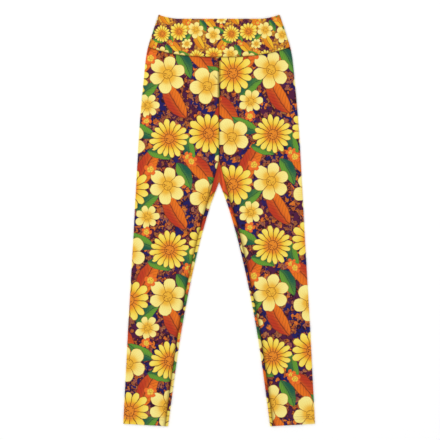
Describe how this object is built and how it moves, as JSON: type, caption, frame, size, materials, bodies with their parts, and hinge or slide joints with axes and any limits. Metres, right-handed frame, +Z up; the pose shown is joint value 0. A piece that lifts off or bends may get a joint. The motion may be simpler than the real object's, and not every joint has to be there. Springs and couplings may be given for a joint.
{
  "type": "leggings",
  "caption": "High-waisted full-length stretch leggings with a wide waistband, inside leg seams and a diamond gusset, laid flat with the front up.",
  "frame": {"origin": "on the surface that the leggings lie on, under the middle of their length and width", "axes": "+X to the wearer's left, +Y up the garment to the waist, +Z up from the surface, out of the garment's front"},
  "size_m": [0.4518, 0.97, 0.0054],
  "materials": {
    "leg_print": "printed stretch knit, soft low sheen",
    "waistband_print": "printed stretch knit, doubled, soft low sheen",
    "gusset_print": "printed stretch knit, soft low sheen"
  },
  "bodies": {
    "root": {"left_leg_panel": "leg_print", "right_leg_panel": "leg_print", "gusset": "gusset_print", "front_waistband": "waistband_print", "back_waistband": "waistband_print"}
  },
  "joints": []
}
